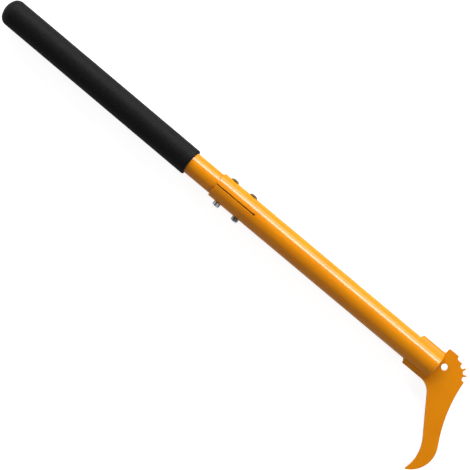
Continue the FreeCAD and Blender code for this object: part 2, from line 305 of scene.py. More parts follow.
@dataclass(frozen=True)
class PowderCoat:
    """Glossy paint that was sprayed as powder and baked on steel."""

    name: str
    colour: Colour = srgb(214, 132, 7)
    deep_colour: Colour = srgb(209, 123, 5)
    roughness: float = 0.42
    roughness_spread: float = 0.05
    specular: float = 0.05
    coat: float = 1.0
    glancing_coat: float = 0.12
    coat_falls: tuple[float, float] = (0.12, 0.3)
    coat_roughness: float = 0.15
    coat_ior: float = 1.6
    peel_size: float = 1.8 * MM
    peel_depth: float = 0.0016 * MM
    patch_size: float = 34.0 * MM
    # Painted shade past a place along the handle: where it starts, how long it takes, and its
    # colour.
    painted_shade_from: float | None = None
    painted_shade_length: float = 1.0 * MM
    painted_shade_colour: Colour = srgb(100, 31, 3)
    dressed_end: float | None = None
    dressed_length: float = 3.4 * MM
    dressed_depth: float = 0.6 * MM

    def material(self) -> Material:
        """Builds the paint: slow patches of a deeper orange under a faint orange peel.

        Past one place along the handle it may be painted dark: painted shade on the stretch inside
        another tube, seen down the slit.
        Up to another place it may fall away over an end that was dressed with a file.

        Returns:
            The material.
        """
        graph = Shading(self.name)
        sizes = {"Relief Size": self.peel_size, "Patch Size": self.patch_size}
        skin = graph.effect(skin_effect(), sizes)
        facing = graph.add("ShaderNodeLayerWeight").outputs["Facing"]
        colour = graph.shade(skin["Patch"], self.colour, self.deep_colour)
        # Painted shade: darker past a place along the handle, for the stretch seen down the slit.
        if self.painted_shade_from is not None:
            painted_shade = graph.along(self.painted_shade_from, self.painted_shade_from + self.painted_shade_length)
            colour = graph.shade(painted_shade, colour, self.painted_shade_colour)
        height = graph.product(skin["Height"], self.peel_depth)
        if self.dressed_end is not None:
            fall = graph.along(self.dressed_end - self.dressed_length, self.dressed_end)
            height = graph.calc("SUBTRACT", height, graph.product(fall, self.dressed_depth))
        smooth = self.roughness - self.roughness_spread
        rough = self.roughness + self.roughness_spread
        return graph.close({
            "Base Color": colour,
            "Roughness": graph.remap(skin["Patch"], 0.0, 1.0, smooth, rough),
            "Specular IOR Level": self.specular,
            "Coat Weight": graph.remap(facing, *self.coat_falls, self.coat, self.glancing_coat),
            "Coat Roughness": self.coat_roughness,
            "Coat IOR": self.coat_ior,
        }, height)


@dataclass(frozen=True)
class FoamFinish:
    """Matt black closed-cell foam with a fine open grain."""

    name: str = "grip_foam"
    colour: Colour = srgb(7, 7, 8)
    light_colour: Colour = srgb(25, 25, 26)
    speckle_bounds: tuple[float, float] = (0.35, 0.65)
    roughness: float = 0.85
    light_roughness: float = 1.0
    specular: float = 0.02
    sheen: float = 0.06
    sheen_roughness: float = 0.4
    waxy_coat: float = 0.05
    waxy_roughness: float = 0.55
    waxy_ior: float = 2.0
    cell_size: float = 0.45 * MM
    cell_depth: float = 0.07 * MM

    def material(self) -> Material:
        """Builds the foam: speckled black cells over a relief of small pits.

        Returns:
            The material.
        """
        graph = Shading(self.name)
        grain = graph.effect(grain_effect(), {"Cell Size": self.cell_size})
        speckle = graph.remap(grain["Speckle"], *self.speckle_bounds)
        return graph.close({
            "Base Color": graph.shade(speckle, self.colour, self.light_colour),
            "Roughness": graph.remap(speckle, 0.0, 1.0, self.roughness, self.light_roughness),
            "Specular IOR Level": self.specular,
            "Sheen Weight": self.sheen,
            "Sheen Roughness": self.sheen_roughness,
            "Coat Weight": self.waxy_coat,
            "Coat Roughness": self.waxy_roughness,
            "Coat IOR": self.waxy_ior,
        }, grain["Height"], self.cell_depth)


@dataclass(frozen=True)
class Plating:
    """Bright zinc on a turned or pressed fastener."""

    name: str
    colour: Colour = srgb(216, 216, 220)
    dull_colour: Colour = srgb(158, 158, 164)
    edge_colour: Colour = srgb(12, 12, 13)
    # Colour of painted dark reflections along marked corners, if any.
    painted_streak_colour: Colour | None = None
    roughness: float = 0.24
    dull_roughness: float = 0.4
    cloud_size: float = 1.6 * MM
    lumps_per_cloud: int = 3
    lump_share: float = 0.5
    line_size: float = 0.12 * MM
    line_depth: float = 0.006 * MM

    def material(self) -> Material:
        """Builds the plating: dull clouds over fine tool lines, and painted dark streaks, a
        painted reflection, where the mesh marks them.

        Returns:
            The material.
        """
        graph = Shading(self.name)
        lump_size = self.cloud_size / self.lumps_per_cloud
        sizes = {"Relief Size": lump_size, "Patch Size": self.cloud_size}
        skin = graph.effect(skin_effect(), sizes)
        tooling = graph.effect(tooling_effect(), {"Line Size": self.line_size})
        cloud = skin["Patch"]
        colour = graph.shade(cloud, self.colour, self.dull_colour)
        # Painted reflection: dark where the mesh marks a hexagon's corners.
        if self.painted_streak_colour is not None:
            painted_streak = graph.add("ShaderNodeAttribute", attribute_name="painted_streak").outputs["Fac"]
            colour = graph.shade(painted_streak, colour, self.painted_streak_colour)
        lumps = graph.product(skin["Height"], self.lump_share)
        return graph.close({
            "Base Color": colour,
            "Metallic": 1.0,
            "Specular Tint": self.edge_colour,
            "Roughness": graph.remap(cloud, 0.0, 1.0, self.roughness, self.dull_roughness),
        }, graph.calc("ADD", tooling["Height"], lumps), self.line_depth)


@dataclass(frozen=True)
class Plastic:
    """Moulded plastic with a fine grain."""

    name: str
    colour: Colour
    light_colour: Colour
    roughness: float = 0.5
    roughness_rise: float = 0.1
    cell_size: float = 0.3 * MM
    cell_depth: float = 0.01 * MM

    def material(self) -> Material:
        """Builds the plastic: a little lighter and rougher where the grain is open.

        Returns:
            The material.
        """
        graph = Shading(self.name)
        grain = graph.effect(grain_effect(), {"Cell Size": self.cell_size})
        speckle = grain["Speckle"]
        rough = self.roughness + self.roughness_rise
        return graph.close({
            "Base Color": graph.shade(speckle, self.colour, self.light_colour),
            "Roughness": graph.remap(speckle, 0.0, 1.0, self.roughness, rough),
        }, grain["Height"], self.cell_depth)


def shown(name: str, data: bpy.types.ID) -> Object:
    """Puts a mesh, lamp or camera in the scene.

    Args:
        name: Name of its object.
        data: The mesh, lamp or camera.

    Returns:
        The new object.
    """
    thing = bpy.data.objects.new(name, data)
    bpy.context.scene.collection.objects.link(thing)
    return thing


class Growth(Graph):
    """A geometry node tree with named sizes, a material and one result."""

    def __init__(self, name: str, *sizes: str) -> None:
        """Starts the tree.

        Args:
            name: Name of the tree.
            *sizes: Names of its number inputs.
        """
        tree = bpy.data.node_groups.new(name, "GeometryNodeTree")
        face = tree.interface
        face.new_socket(name="Geometry", in_out="INPUT", socket_type="NodeSocketGeometry")
        for label in sizes:
            face.new_socket(name=label, in_out="INPUT", socket_type="NodeSocketFloat")
        face.new_socket(name="Material", in_out="INPUT", socket_type="NodeSocketMaterial")
        face.new_socket(name="Geometry", in_out="OUTPUT", socket_type="NodeSocketGeometry")
        super().__init__(tree)
        self.given = self.add("NodeGroupInput").outputs

    @cached_property
    def place(self) -> Socket:
        """Place of each point."""
        return self.add("GeometryNodeInputPosition").outputs[0]

    @cached_property
    def axes(self) -> NodeOutputs:
        """Coordinates of each point."""
        return self.add("ShaderNodeSeparateXYZ", {"Vector": self.place}).outputs

    def wave(self, size: str, height: str) -> Socket:
        """Soft rise and fall, from the names of the inputs with its size and height."""
        wave = self.noise(self.place, self.given[size], detail=1.0, seed=self.given["Seed"])
        return self.product(self.calc("SUBTRACT", wave, 0.5), self.given[height])

    def close(self, geometry: Socket, push: Socket, way: Socket | None = None) -> None:
        """Ends the tree: points moved, faces smooth, all real and with the material.

        Args:
            geometry: Socket with the shape.
            push: Socket with how far each point moves.
            way: Socket with the direction, or nothing for each point's normal.
        """
        way = way or self.add("GeometryNodeInputNormal").outputs[0]
        feeds = {0: way, "Scale": push}
        offset = self.add("ShaderNodeVectorMath", feeds, operation="SCALE").outputs[0]
        for kind, feeds in (
            ("GeometryNodeSetPosition", {"Offset": offset}),
            ("GeometryNodeSetShadeSmooth", {}),
            ("GeometryNodeRealizeInstances", {}),
            ("GeometryNodeSetMaterial", {"Material": self.given["Material"]}),
        ):
            geometry = self.add(kind, {"Geometry": geometry, **feeds}).outputs[0]
        self.add("NodeGroupOutput", {"Geometry": geometry})

    def captured(self, curve: Socket, value: Socket) -> tuple[Socket, Socket]:
        """Stores a value on a curve's points, to be read on the mesh made from it.

        Args:
            curve: Socket with the curve.
            value: Socket with the value.

        Returns:
            The curve that carries the value, and the value's socket.
        """
        node = self.add("GeometryNodeCaptureAttribute")
        node.capture_items.new("FLOAT", "Value")
        self.tree.links.new(curve, node.inputs["Geometry"])
        self.tree.links.new(value, node.inputs["Value"])
        return node.outputs["Geometry"], node.outputs["Value"]

    def grown(self, mesh: Mesh, values: dict[str, Value]) -> Mesh:
        """Runs the tree on a mesh.

        Args:
            mesh: The mesh to start from.
            values: Number or material for each input, by name.

        Returns:
            The result as a plain mesh.
        """
        holder = shown(self.tree.name, mesh)
        modifier = holder.modifiers.new("growth", "NODES")
        modifier.node_group = self.tree
        for item in self.tree.interface.items_tree:
            if item.in_out == "INPUT" and item.name in values:
                modifier[item.identifier] = values[item.name]
        seen = bpy.context.evaluated_depsgraph_get()
        result = bpy.data.meshes.new_from_object(holder.evaluated_get(seen))
        bpy.data.objects.remove(holder)
        return result


def arc(centre: Point, radius: float, start: float, end: float, step: float) -> list[Point]:
    """Points along an arc.

    Args:
        centre: Middle of the arc.
        radius: Radius of the arc.
        start: First angle in degrees.
        end: Last angle in degrees.
        step: Longest distance between two points.

    Returns:
        The points, with both ends.
    """
    count = max(2, math.ceil(abs(math.radians(end - start)) * radius / step) + 1)
    angles = np.radians(np.linspace(start, end, count))
    return [(centre[0] + radius * math.cos(a), centre[1] + radius * math.sin(a)) for a in angles]


def run(start: Point, end: Point, step: float) -> list[Point]:
    """Points along a straight run.

    Args:
        start: First point.
        end: Last point.
        step: Longest distance between two points.

    Returns:
        The points, without the first one.
    """
    count = max(1, math.ceil(math.dist(start, end) / step))
    shares = np.arange(1, count + 1) / count
    return [tuple(np.array(start) + (np.array(end) - np.array(start)) * s) for s in shares]


def loft(name: str, rings: list[np.ndarray]) -> Mesh:
    """Closed skin over a row of rings.

    Args:
        name: Name of the mesh.
        rings: Points of each ring, all with the same count. Either the first and last ring are
            poles of one point each, or the last one repeats the first.

    Returns:
        The mesh, with its faces outwards.
    """
    shape = bmesh.new()
    rows = [[shape.verts.new(point) for point in ring] for ring in rings]
    for here, there in zip(rows, rows[1:]):
        count = max(len(here), len(there))
        for place in range(count):
            ahead = (place + 1) % count
            corners = [here[place % len(here)], there[place % len(there)],
                       there[ahead % len(there)], here[ahead % len(here)]]
            shape.faces.new(dict.fromkeys(corners))
    bmesh.ops.remove_doubles(shape, verts=shape.verts, dist=MERGE)
    bmesh.ops.recalc_face_normals(shape, faces=shape.faces)
    mesh = bpy.data.meshes.new(name)
    shape.to_mesh(mesh)
    shape.free()
    return mesh


def joined(name: str, mesh: Mesh, places: list[Matrix]) -> Mesh:
    """Copies of a mesh as one mesh.

    Args:
        name: Name of the new mesh.
        mesh: The mesh to copy.
        places: Where each copy goes.

    Returns:
        The new mesh, with the same materials.
    """
    shape = bmesh.new()
    for place in places:
        copy = mesh.copy()
        copy.transform(place)
        shape.from_mesh(copy)
        bpy.data.meshes.remove(copy)
    result = bpy.data.meshes.new(name)
    shape.to_mesh(result)
    shape.free()
    for material in mesh.materials:
        result.materials.append(material)
    return result


def settle(name: str, mesh: Mesh, slot: Slot, node: str) -> Object:
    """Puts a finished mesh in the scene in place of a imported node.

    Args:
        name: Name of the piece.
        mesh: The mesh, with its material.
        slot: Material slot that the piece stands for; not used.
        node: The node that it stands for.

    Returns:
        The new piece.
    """
    piece = shown(name, mesh)
    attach(piece, "root")
    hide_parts(node)
    log.info("%s: %d faces, stands for %s", name, len(mesh.polygons), node)
    return piece


def dress(node: str, material: Material) -> None:
    """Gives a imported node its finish.

    Args:
        node: Name of the node.
        material: The finish.
    """
    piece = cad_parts[node]
    for place in piece.material_slots:
        place.material = material
    log.info("%s: packed shape, finish %s", node, material.name)


@dataclass
class FoamGrip:
    """Foam sleeve with a rounded butt, a soft uneven skin and a bore for the tube."""

    finish: FoamFinish
    node: str = "foam_grip"
    crown_radius: float = 22.0 * MM
    knuckle_radius: float = 11.0 * MM
    lip_round: float = 1.5 * MM
    bore_radius: float = 13.9 * MM
    end_wall: float = 10.0 * MM
    cut_slant: float = 3.1 * MM
    cut_reach: float = 24.0 * MM
    butt_offset: float = 1.0 * MM
    step: float = 0.9 * MM
    lip_step: float = 0.3 * MM
    bore_step: float = 6.0 * MM
    segments: int = 116
    swell: float = 0.12 * MM
    swell_size: float = 26.0 * MM
    grain: float = 0.09 * MM
    grain_size: float = 2.6 * MM
    seed: float = 3.0

    def skin_profile(self) -> list[Point]:
        """Half section of the outside, from the butt to the lip.

        Returns:
            Place along the handle and radius of each point.
        """
        low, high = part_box(self.node)
        outer = high.y
        knuckle_off = outer - self.knuckle_radius
        apart = self.crown_radius - self.knuckle_radius
        along = math.sqrt(apart**2 - knuckle_off**2)
        turn = math.degrees(math.atan2(knuckle_off, -along))
        crown_middle = (low.x + self.crown_radius, 0.0)
        knuckle_middle = (crown_middle[0] - along, knuckle_off)
        lip_middle = (high.x - self.lip_round, outer - self.lip_round)
        points = arc(crown_middle, self.crown_radius, 180, turn, self.step)
        points += arc(knuckle_middle, self.knuckle_radius, turn, 90, self.step)[1:]
        points += run(points[-1], (lip_middle[0], outer), self.step)
        return points + arc(lip_middle, self.lip_round, 90, 0, self.lip_step)[1:]

    def bore_profile(self, lip: Point) -> list[Point]:
        """Half section of the bore, from the lip to the closed end.

        Args:
            lip: Last point of the outside.

        Returns:
            Place along the handle and radius of each point.
        """
        low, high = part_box(self.node)
        bore_end = low.x + self.end_wall
        points = run(lip, (high.x, self.bore_radius), self.step)
        points += run(points[-1], (bore_end, self.bore_radius), self.bore_step)
        return points + run(points[-1], (bore_end, 0.0), self.bore_step)

    def ring(self, x: float, radius: float, offset: float) -> np.ndarray:
        """Points of the sleeve round the handle, where the lip's cut is a little out of square.

        Args:
            x: Place along the handle.
            radius: Radius of the ring.
            offset: How far the butt's end of this surface stands off the tube's line.

        Returns:
            The points, or one point where the ring is a pole.
        """
        low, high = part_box(self.node)
        angles = np.linspace(0, 2 * math.pi, self.segments, endpoint=False)
        around = angles if radius > MERGE else angles[:1]
        across, up = radius * np.sin(around), radius * np.cos(around)
        near_lip = max(0.0, 1 - (high.x - x) / self.cut_reach)
        cut = self.cut_slant * near_lip * ((1 + up / high.y) / 2) ** 2
        across += offset * (high.x - x) / (high.x - low.x)
        return np.array([x - cut, across, up]).T

    def sleeve(self) -> Mesh:
        """Turns both half sections about the handle's axis.

        Returns:
            The closed sleeve.
        """
        skin = self.skin_profile()
        rings = [self.ring(*spot, self.butt_offset) for spot in skin]
        rings += [self.ring(*spot, 0.0) for spot in self.bore_profile(skin[-1])]
        return loft("foam_sleeve", rings)

    def skin(self) -> Growth:
        """Makes the outside slightly uneven and grained, and leaves the bore alone.

        Returns:
            The tree.
        """
        growth = Growth("foam_skin", "Swell", "Swell Size", "Grain", "Grain Size",
                        "Bore Radius", "Skin Radius", "Seed")
        given, axes = growth.given, growth.axes
        off_axis = growth.off_axis(axes["Y"], axes["Z"])
        outside = growth.remap(off_axis, given["Bore Radius"], given["Skin Radius"])
        push = growth.calc(
            "ADD", growth.wave("Swell Size", "Swell"), growth.wave("Grain Size", "Grain"))
        growth.close(given["Geometry"], growth.product(push, outside))
        return growth

    def build(self) -> None:
        """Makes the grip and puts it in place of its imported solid."""
        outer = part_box(self.node)[1].y
        mesh = self.skin().grown(self.sleeve(), {
            "Swell": self.swell, "Swell Size": self.swell_size,
            "Grain": self.grain, "Grain Size": self.grain_size,
            "Bore Radius": self.bore_radius, "Skin Radius": outer - self.lip_round / 2,
            "Seed": self.seed, "Material": self.finish.material(),
        })
        piece = settle("foam_sleeve", mesh, Slot.FOAM, self.node)


@dataclass
class Tubes:
    """The two steel tubes and the plug in the inner one's end."""

    main_paint: PowderCoat
    grip_paint: PowderCoat
    plug: Plastic

    def build(self) -> None:
        """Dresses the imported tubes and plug."""
        dress("main_tube", self.main_paint.material())
        dress("grip_tube", self.grip_paint.material())
        dress("end_plug", self.plug.material())


@dataclass
class HookHead:
    """The flat hook plate and the weld beads that hold its tang in the tube."""

    plate_paint: PowderCoat
    bead_paint: PowderCoat
    tube_wall: float = 2.1 * MM
    half_plate: float = 3.0 * MM
    bury: float = 1.0 * MM
    bead_reach: float = 4.2 * MM
    bead_start: float = -78.0
    bead_sweep: float = 80.0
    bead_flat: float = 0.8 * MM
    bead_step: float = 0.28 * MM
    section_points: int = 15
    corner_round: float = 0.8 * MM
    side_step: float = 1.0 * MM
    end_step: float = 0.3 * MM
    corner_step: float = 0.2 * MM
    ripple_pitch: float = 1.7 * MM
    ripple: float = 0.13 * MM
    ripple_bow: float = 0.45
    edge_rise: float = 12.0
    lump: float = 0.3 * MM
    lump_size: float = 2.8 * MM
    taper: float = 2.2 * MM
    taper_share: float = 0.8
    mouth_reach: float = 3.0 * MM
    mouth_taper: float = 1.5 * MM
    mouth_flat: float = 0.5 * MM
    mouth_bury: float = 0.7 * MM
    mouth_depth: float = 9.0 * MM
    mouth_lap: float = 0.9 * MM
    mouth_points: int = 12
    crown_seed: float = 1.0
    beak_seed: float = 6.0
    mouth_seed: float = 9.0

    def bead_tree(self) -> Growth:
        """Runs a rippled fillet bead along a line, its upright along +Z.

        The section is an arc closed by two radii. Its factor runs over all three, and the hump
        is 0 at both ends of the arc and a quarter at its middle.

        Returns:
            The tree.
        """
        growth = Growth("weld_bead", "Step", "Reach", "Start Angle", "Sweep Angle", "Ripple Pitch",
                        "Ripple", "Ripple Bow", "Flat", "Lump", "Lump Size", "Taper", "Seed")
        calc, given = growth.calc, growth.given
        line = growth.add("GeometryNodeMeshToCurve", {"Mesh": given["Geometry"]}).outputs[0]
        feeds = {"Curve": line, "Length": given["Step"]}
        even = growth.add("GeometryNodeResampleCurve", feeds, mode="LENGTH").outputs[0]
        rail = growth.add("GeometryNodeSetCurveNormal", {"Curve": even}, mode="Z_UP").outputs[0]
        spline = growth.add("GeometryNodeSplineParameter").outputs
        whole = growth.add("GeometryNodeSplineLength").outputs["Length"]
        to_end = calc("MINIMUM", spline["Length"], calc("SUBTRACT", whole, spline["Length"]))
        gone = calc("SUBTRACT", 1.0, calc("MINIMUM", calc("DIVIDE", to_end, given["Taper"]), 1.0))
        lost = growth.product(gone, gone, self.taper_share)
        section = growth.add("GeometryNodeCurveArc", {
            "Resolution": self.section_points, "Radius": given["Reach"],
            "Start Angle": given["Start Angle"], "Sweep Angle": given["Sweep Angle"],
            "Connect Center": True,
        }, mode="RADIUS").outputs["Curve"]
        kept_rail, along = growth.captured(rail, spline["Length"])
        kept_section, across = growth.captured(section, spline["Factor"])
        swept = growth.add("GeometryNodeCurveToMesh", {
            "Curve": kept_rail, "Profile Curve": kept_section,
            "Scale": calc("SQRT", calc("SUBTRACT", 1.0, lost)), "Fill Caps": True,
        }).outputs[0]
        sweep = given["Sweep Angle"]
        arc_share = calc("DIVIDE", sweep, calc("ADD", sweep, 2.0))
        side = calc("MINIMUM", calc("DIVIDE", across, arc_share), 1.0)
        hump = growth.product(side, calc("SUBTRACT", 1.0, side))
        full_hump = growth.product(hump, 4.0)
        lag = growth.product(full_hump, given["Ripple Bow"])
        phase = calc("SUBTRACT", calc("DIVIDE", along, given["Ripple Pitch"]), lag)
        scale = calc("ABSOLUTE", calc("SINE", growth.product(phase, math.pi)))
        ripple = growth.product(scale, given["Ripple"])
        off_edge = calc("MINIMUM", growth.product(hump, self.edge_rise), 1.0)
        rough = growth.product(calc("ADD", ripple, growth.wave("Lump Size", "Lump")), off_edge)
        growth.close(swept, calc("SUBTRACT", rough, growth.product(full_hump, given["Flat"])))
        return growth

    @staticmethod
    def line(name: str, paths: list[list[tuple[float, float, float]]]) -> Mesh:
        """Mesh of open lines.

        Args:
            name: Name of the mesh.
            paths: Points of each line.

        Returns:
            The mesh of edges.
        """
        points, edges = [], []
        for path in paths:
            start = len(points)
            points += path
            edges += [(place, place + 1) for place in range(start, len(points) - 1)]
        mesh = bpy.data.meshes.new(name)
        mesh.from_pydata(points, edges, [])
        return mesh

    def tang_line(self) -> Mesh:
        """Line round the tang, buried in tang and tube, with +Z away from the tube's axis.

        Returns:
            The mesh of edges.
        """
        low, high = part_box("crown_weld")
        end = low.x + self.bead_reach
        half = self.half_plate - self.bury
        turn = self.corner_round
        plan = [(high.x, half)] + run((high.x, half), (end + turn, half), self.side_step)
        plan += arc((end + turn, half - turn), turn, 90, 180, self.corner_step)[1:]
        plan += run(plan[-1], (end, turn - half), self.end_step)
        plan += arc((end + turn, turn - half), turn, 180, 270, self.corner_step)[1:]
        plan += run(plan[-1], (high.x, -half), self.side_step)
        path = []
        for x, across in plan:
            off = min(abs(across) + self.bury, self.half_plate)
            path.append((x, across, math.sqrt(TUBE_RADIUS**2 - off**2) - self.bury))
        return self.line("tang_line", [path])

    def mouth_lines(self) -> Mesh:
        """Two short lines in the corners over the plate, inside the tube's mouth.

        Returns:
            The mesh of edges, each line with the tube's wall on its left.
        """
        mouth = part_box("main_tube")[1].x
        inner = TUBE_RADIUS - self.tube_wall
        high = self.half_plate - self.mouth_bury
        across = math.sqrt(inner**2 - self.half_plate**2) + self.mouth_bury
        ends = np.array([mouth - self.mouth_depth, mouth + self.mouth_lap])
        paths = []
        for side in (1, -1):
            places = np.linspace(*ends[::side], self.mouth_points)
            paths.append([(x, side * across, high) for x in places])
        return self.line("mouth_lines", paths)

    def build(self) -> None:
        """Dresses the plate and lays the beads."""
        dress("head_plate", self.plate_paint.material())
        growth = self.bead_tree()
        values = {
            "Step": self.bead_step, "Reach": self.bead_reach, "Flat": self.bead_flat,
            "Start Angle": math.radians(self.bead_start),
            "Sweep Angle": math.radians(self.bead_sweep),
            "Ripple Pitch": self.ripple_pitch, "Ripple": self.ripple,
            "Ripple Bow": self.ripple_bow, "Lump": self.lump, "Lump Size": self.lump_size,
            "Taper": self.taper, "Material": self.bead_paint.material(),
        }
        for side, seed in ((Side.CROWN, self.crown_seed), (Side.BEAK, self.beak_seed)):
            mesh = growth.grown(self.tang_line(), values | {"Seed": seed})
            mesh.transform(Matrix.Rotation(math.radians(-90 * side.value), 4, "X"))
            name = side.name.lower()
            settle(f"{name}_bead", mesh, Slot.ORANGE, f"{name}_weld")
        pair = growth.grown(self.mouth_lines(), values | {
            "Reach": self.mouth_reach, "Taper": self.mouth_taper, "Flat": self.mouth_flat,
            "Seed": self.mouth_seed,
        })
        places = [Matrix.Identity(4), Matrix.Rotation(math.pi, 4, "X")]
        settle("mouth_beads", joined("mouth_beads", pair, places), Slot.ORANGE, "mouth_welds")


@dataclass
class ClampSet:
    """The two cross bolts with their lock nuts, which clamp the tubes together."""

    bolt_plating: Plating
    nut_plating: Plating
    nylon: Plastic
    bolt_radius: float = 2.5 * MM
    flange_radius: float = 5.1 * MM
    flange_height: float = 1.1 * MM
    flange_round: float = 0.3 * MM
    flange_step: float = 0.1 * MM
    dome_radius: float = 4.6 * MM
    dome_points: int = 9
    head_height: float = 2.4 * MM
    socket_across: float = 3.0 * MM
    socket_depth: float = 1.7 * MM
    socket_bevel: float = 0.36 * MM
    socket_floor_share: float = 0.92
    socket_rim_share: float = 0.64
    dome_start_share: float = 0.72
    tip_bevel: float = 0.5 * MM
    tip_shown: float = 0.2 * MM
    thread_pitch: float = 0.8 * MM
    thread_depth: float = 0.38 * MM
    thread_length: float = 13.0 * MM
    rings_per_turn: int = 8
    nut_across: float = 8.0 * MM
    nut_corner_radius: float = 4.45 * MM
    nut_height: float = 4.8 * MM
    nut_hex_height: float = 4.0 * MM
    nut_bevel: float = 0.4 * MM
    nut_bevel_slope: float = 1.2
    nut_bevel_points: int = 6
    nut_side_points: int = 4
    washer_share: float = 0.9
    collar_radius: float = 3.9 * MM
    collar_round: float = 0.55 * MM
    collar_step: float = 0.15 * MM
    collar_foot: float = 0.15 * MM
    collar_lip_radius: float = 2.95 * MM
    collar_lip_edge: float = 0.05 * MM
    collar_lip_rise: float = 0.08 * MM
    groove_radius: float = 3.29 * MM
    insert_lid: float = 0.3 * MM
    clearance: float = 0.05 * MM
    # Radius past which the nuts' corners get painted dark streaks.
    painted_streak_radius: float = 4.1 * MM
    edge_round: float = 0.12 * MM
    bolt_sharp_angle: float = 38.0
    nut_sharp_angle: float = 32.0
    nut_turns: tuple[float, float] = (19.0, 9.0)
    bolt_turns: tuple[float, float] = (14.0, 47.0)
    segments: int = 72

    @property
    def places(self) -> list[float]:
        """Both places along the handle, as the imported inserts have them.

        Returns:
            The two places.
        """
        low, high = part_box("nut_inserts")
        half = (high.z - low.z) / 2
        return [low.x + half, high.x - half]

    @property
    def tip(self) -> float:
        """Place of the bolts' tips, just past the nuts."""
        return -TUBE_RADIUS - self.nut_height - self.tip_shown

    @property
    def angles(self) -> np.ndarray:
        """Angles of a ring's points."""
        return np.linspace(0, 2 * math.pi, self.segments, endpoint=False)

    def hexagon(self, across: float) -> np.ndarray:
        """Distance of a hexagon's side from its middle at each angle, from its width."""
        sixth = math.pi / 3
        return across / 2 / np.cos(self.angles % sixth - sixth / 2)

    def ring(self, radius: np.ndarray | float, height: float) -> np.ndarray:
        """Points of a ring about the Y axis.

        Args:
            radius: Distance from the axis, one for all or one each.
            height: Place along the axis.

        Returns:
            The points.
        """
        across, up = radius * np.cos(self.angles), radius * np.sin(self.angles)
        return np.array([across, np.full(self.segments, height), up]).T

    def bolt_rings(self) -> list[np.ndarray]:
        """Section of a bolt on the Y axis, from the socket's floor over the head to the tip.

        Returns:
            The points of each ring, with a pole at both ends.
        """
        seat, small = TUBE_RADIUS, self.edge_round
        top = seat + self.head_height
        flange_top = seat + self.flange_height
        floor = top - self.socket_depth
        socket = self.hexagon(self.socket_across)
        section = [(socket * self.socket_floor_share, floor), (socket, floor + small),
                   (socket, top - self.socket_bevel),
                   (self.socket_across * self.socket_rim_share, top - small / 2)]
        dome_height = top - flange_top
        sphere = (self.dome_radius**2 + dome_height**2) / (2 * dome_height)
        dome_start = self.socket_across * self.dome_start_share
        for radius in np.linspace(dome_start, self.dome_radius, self.dome_points):
            drop = sphere - math.sqrt(sphere**2 - radius**2)
            section.append((radius, top - drop))
        section.append((self.dome_radius + small, flange_top))
        middle = (self.flange_radius - self.flange_round, flange_top - self.flange_round)
        section += arc(middle, self.flange_round, 90, 0, self.flange_step)
        section += arc((self.flange_radius - small, seat + small), small, 0, -90, small / 2)
        section += [(self.bolt_radius + small, seat), (self.bolt_radius, seat - small)]
        thread_start = self.tip + self.thread_length
        section.append((self.bolt_radius, thread_start + self.thread_pitch))
        count = int(self.thread_length / self.thread_pitch * self.rings_per_turn)
        for height in np.linspace(thread_start, self.tip + self.tip_bevel, count):
            section.append((self.bolt_radius, height))
        section.append((self.bolt_radius - self.tip_bevel, self.tip))
        first, last = np.array([[[0.0, floor - small, 0.0]], [[0.0, self.tip, 0.0]]])
        return [first, *(self.ring(*spot) for spot in section), last]

    def thread_tree(self) -> Growth:
        """Cuts a screw thread into a shank on the Y axis.

        Returns:
            The tree.
        """
        growth = Growth("screw_thread", "Pitch", "Depth", "Start", "End")
        calc, given, axes = growth.calc, growth.given, growth.axes
        turn = calc("DIVIDE", calc("ARCTAN2", axes["Z"], axes["X"]), 2 * math.pi)
        climb = calc("DIVIDE", axes["Y"], given["Pitch"])
        saw = calc("FRACT", calc("SUBTRACT", climb, turn))
        valley = calc("ABSOLUTE", calc("SUBTRACT", growth.product(saw, 2.0), 1.0))
        above = calc("GREATER_THAN", axes["Y"], given["End"])
        below = calc("LESS_THAN", axes["Y"], given["Start"])
        inward = growth.product(valley, given["Depth"], above, below, -1.0)
        push = calc("DIVIDE", inward, growth.off_axis(axes["X"], axes["Z"]))
        across = growth.add("ShaderNodeCombineXYZ", {"X": axes["X"], "Z": axes["Z"]}).outputs[0]
        growth.close(given["Geometry"], push, across)
        return growth

    def nut_rings(self) -> list[np.ndarray]:
        """Section of a nut on the Y axis, from its seat round hexagon and collar to the bore.

        Returns:
            The points of each ring, where the last repeats the first.
        """
        seat, bevel = -TUBE_RADIUS, self.nut_bevel
        hex_low = seat - self.nut_hex_height
        end = seat - self.nut_height
        side = self.hexagon(self.nut_across)
        bore = self.bolt_radius + self.clearance
        washer = self.nut_corner_radius - bevel * self.nut_bevel_slope
        levels = np.concatenate([
            np.linspace(0, bevel, self.nut_bevel_points),
            np.linspace(bevel, self.nut_hex_height / 2, self.nut_side_points)[1:],
        ])
        section = [(bore, seat), (washer * self.washer_share, seat)]
        section += [(self.chamfered(side, level), seat - level) for level in levels]
        section += [(self.chamfered(side, level), hex_low + level) for level in levels[::-1]]
        section += [(self.collar_radius + self.collar_foot, hex_low),
                    (self.collar_radius, hex_low - self.edge_round)]
        middle = (self.collar_radius - self.collar_round, end + self.collar_round)
        section += arc(middle, self.collar_round, 0, -90, self.collar_step)
        lip, lid = self.collar_lip_radius, end + self.insert_lid
        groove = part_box("nut_inserts")[1].y + self.clearance
        section += [(lip + self.collar_lip_edge, end), (lip, end + self.collar_lip_rise),
                    (lip, lid), (self.groove_radius, lid), (self.groove_radius, groove),
                    (bore, groove), (bore, seat)]
        return [self.ring(*spot) for spot in section]

    def chamfered(self, side: np.ndarray, level: float) -> np.ndarray:
        """Radii of the nut's hexagon at a depth below its face, with a soft edge to the cone.

        Args:
            side: Distance of the hexagon's sides at each angle.
            level: Depth below the face.

        Returns:
            The radii.
        """
        lost = max(0.0, self.nut_bevel - level) / self.nut_bevel
        cone = self.nut_corner_radius - self.nut_bevel * self.nut_bevel_slope * lost
        gap = np.clip(0.5 + 0.5 * (side - cone) / self.edge_round, 0, 1)
        return side + (cone - side) * gap - self.edge_round * gap * (1 - gap) / 2

